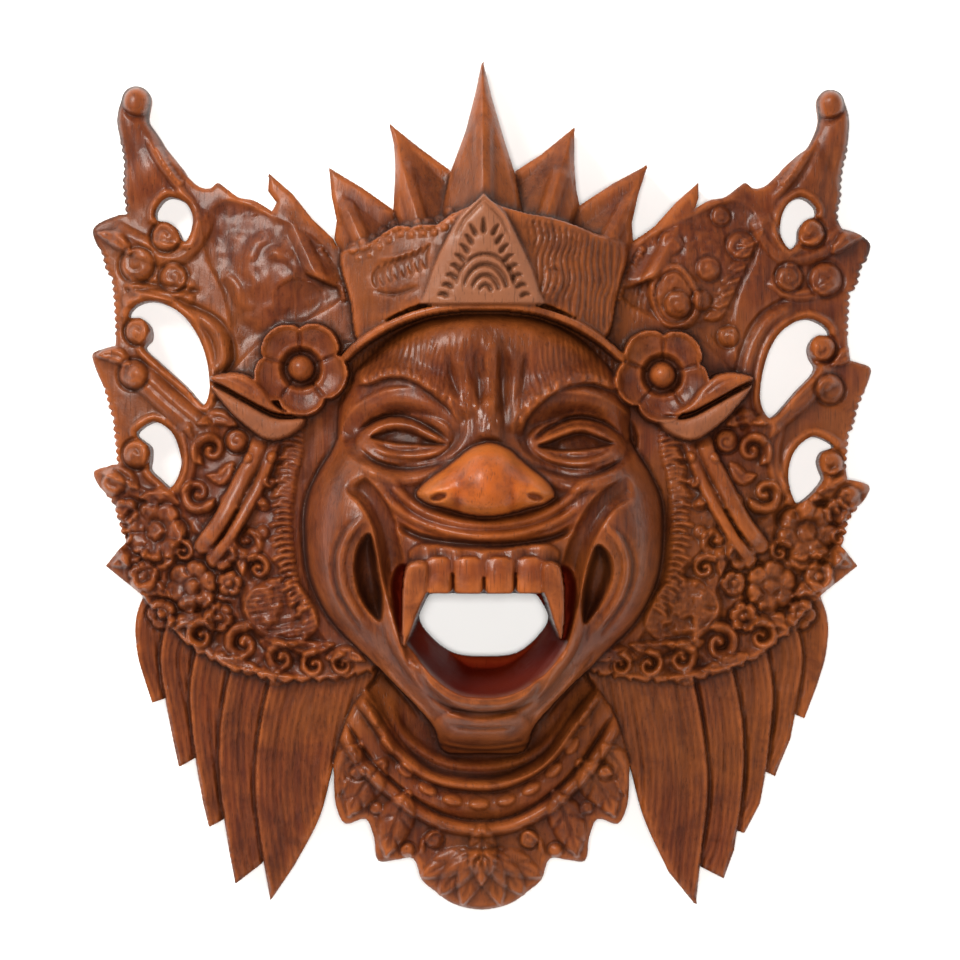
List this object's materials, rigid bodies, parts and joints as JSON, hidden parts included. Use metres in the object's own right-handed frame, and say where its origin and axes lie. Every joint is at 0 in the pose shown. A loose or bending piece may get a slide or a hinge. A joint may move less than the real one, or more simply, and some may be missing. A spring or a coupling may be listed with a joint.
{
  "type": "carved wooden barong mask",
  "caption": "Carved wooden barong mask with a laughing horned demon face, spiked crown, pierced wings and a fluted beard, hollow behind.",
  "frame": {"origin": "middle of the mask's length and width, on its flat back plane", "axes": "+Z out of the face, +Y from the chin to the crown, +X to the right of someone looking at the face"},
  "size_m": [0.35, 0.3799, 0.1121],
  "materials": {
    "wood": "reddish-brown stained hardwood under a semi-gloss varnish, paler on worn high spots, dark in the cuts"
  },
  "bodies": {
    "root": {"mask": "wood"}
  },
  "joints": []
}
